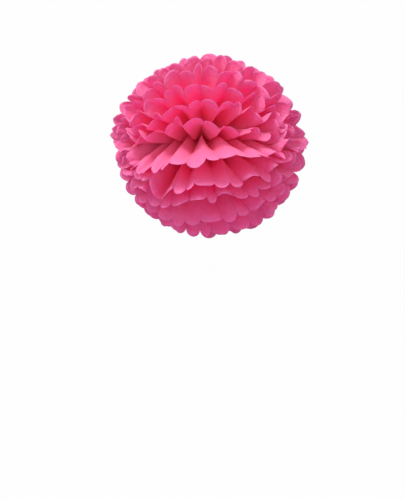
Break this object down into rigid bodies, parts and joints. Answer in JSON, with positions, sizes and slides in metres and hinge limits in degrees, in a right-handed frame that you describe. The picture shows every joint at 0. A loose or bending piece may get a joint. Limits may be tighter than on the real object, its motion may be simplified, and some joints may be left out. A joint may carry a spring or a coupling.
{
  "type": "tissue paper pom pom",
  "caption": "Hanging paper ball of stacked tissue sheets, accordion folded, round-cut at the ends, wired at the middle and fanned open into scalloped petals.",
  "frame": {"origin": "centre of the waist where the wire ties the folded strip", "axes": "+Z along the folded strip, towards its upper fans; +X to the right across the fans; -Y towards the front, flower side"},
  "size_m": [0.3583, 0.3526, 0.3314],
  "materials": {
    "tissue": "dyed pink tissue, matt, thin enough for light to come through",
    "tie_wire": "plain thin florist wire"
  },
  "bodies": {
    "root": {"tissue_sheet_01": "tissue", "tissue_sheet_02": "tissue", "tissue_sheet_03": "tissue", "tissue_sheet_04": "tissue", "tissue_sheet_05": "tissue", "tissue_sheet_06": "tissue", "tissue_sheet_07": "tissue", "tissue_sheet_08": "tissue", "tissue_sheet_09": "tissue", "tissue_sheet_10": "tissue", "tie_wire": "tie_wire"}
  },
  "joints": []
}
